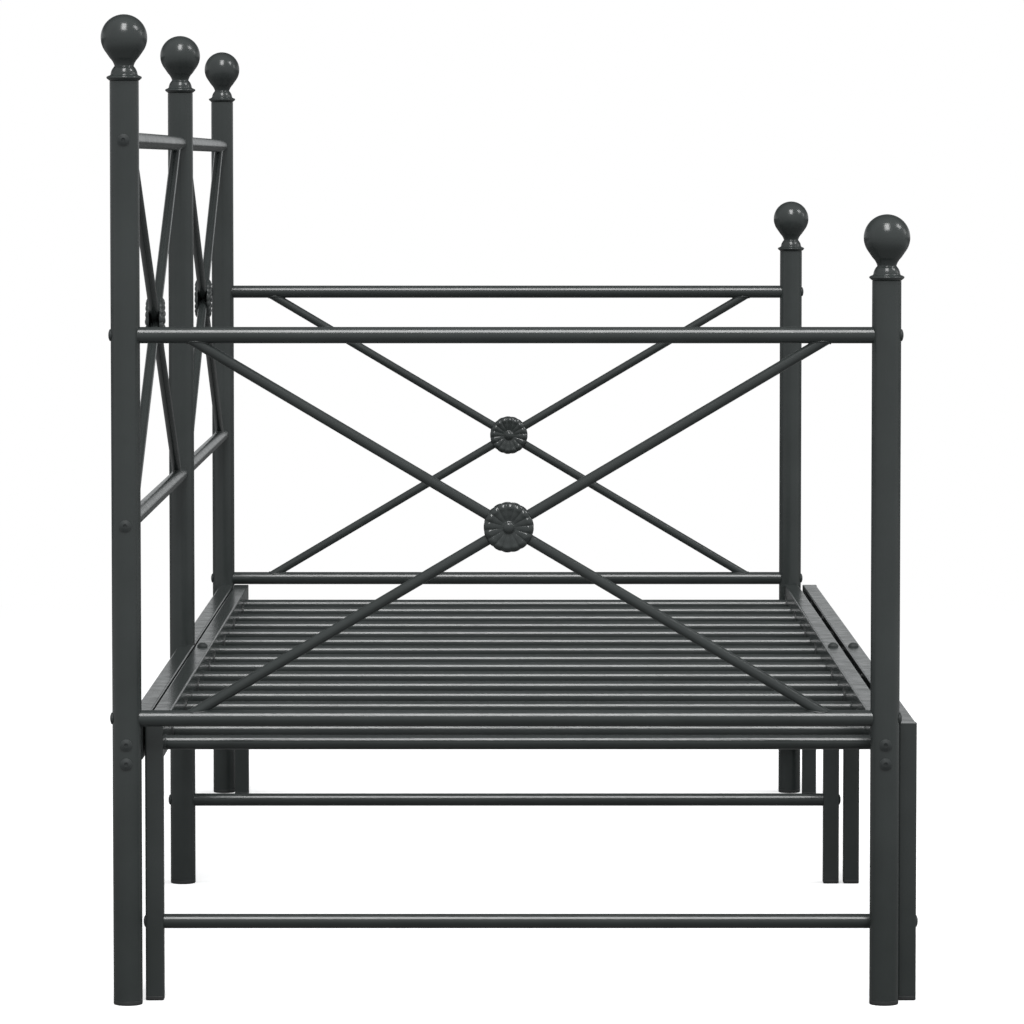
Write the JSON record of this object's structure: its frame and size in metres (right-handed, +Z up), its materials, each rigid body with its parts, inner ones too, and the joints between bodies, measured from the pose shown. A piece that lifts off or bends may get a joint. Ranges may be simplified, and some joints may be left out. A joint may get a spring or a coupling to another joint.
{
  "type": "trundle bed",
  "caption": "Black steel-tube daybed with ball finials, crossed braces with flower rosettes and a slatted base, and a nested trundle frame on legs that pulls out of its front.",
  "frame": {"origin": "on the floor, at the middle of the footprint with the trundle pushed in", "axes": "+X to the front, where the trundle comes out; +Y along the length, to the right as seen from the front; +Z up"},
  "size_m": [0.8969, 2.091, 1.0861],
  "materials": {
    "steel_black": "satin powder coat",
    "bolt_black": "satin black",
    "plastic_black": "matt"
  },
  "bodies": {
    "daybed": {"back_post_left": "steel_black", "back_post_mid": "steel_black", "back_post_right": "steel_black", "front_post_left": "steel_black", "front_post_right": "steel_black", "back_finials": "steel_black", "front_finials": "steel_black", "arm_rail_left": "steel_black", "arm_rail_right": "steel_black", "base_rail_left": "steel_black", "base_rail_right": "steel_black", "end_brace_left_long": "steel_black", "end_brace_left_halves": "steel_black", "end_brace_right_long": "steel_black", "end_brace_right_halves": "steel_black", "end_rosettes": "steel_black", "backrest_rails_left": "steel_black", "backrest_rails_right": "steel_black", "backrest_brace_left_long": "steel_black", "backrest_brace_left_halves": "steel_black", "backrest_brace_right_long": "steel_black", "backrest_brace_right_halves": "steel_black", "backrest_rosettes": "steel_black", "back_rail_left": "steel_black", "back_rail_right": "steel_black", "front_rail_left": "steel_black", "front_rail_right": "steel_black", "front_rail_sleeve": "steel_black", "rail_end_plates": "steel_black", "middle_leg": "steel_black", "middle_stretcher": "steel_black", "daybed_slats_left": "steel_black", "daybed_slats_right": "steel_black", "front_rail_glides": "plastic_black", "post_feet": "plastic_black", "middle_leg_foot": "plastic_black", "rail_inserts": "bolt_black", "stretcher_inserts": "bolt_black", "post_bolts": "bolt_black", "backrest_studs": "bolt_black", "middle_stretcher_bolts": "bolt_black", "front_rail_bolt": "bolt_black"},
    "trundle": {"trundle_back_rail_left": "steel_black", "trundle_back_rail_right": "steel_black", "trundle_front_rail_left": "steel_black", "trundle_front_rail_right": "steel_black", "trundle_rail_sleeves": "steel_black", "trundle_back_leg_left": "steel_black", "trundle_back_leg_right": "steel_black", "trundle_front_leg_left": "steel_black", "trundle_front_leg_mid": "steel_black", "trundle_front_leg_right": "steel_black", "trundle_leg_tops": "steel_black", "trundle_stretchers": "steel_black", "trundle_slats_left": "steel_black", "trundle_slats_right": "steel_black", "trundle_glides": "plastic_black", "trundle_feet": "plastic_black", "trundle_stretcher_bolts": "bolt_black", "trundle_joint_bolts": "bolt_black"}
  },
  "joints": [
    {"name": "trundle_slide", "type": "slide", "parent": "daybed", "child": "trundle", "axis": [1, 0, 0], "range_m": [0, 0.775]}
  ]
}
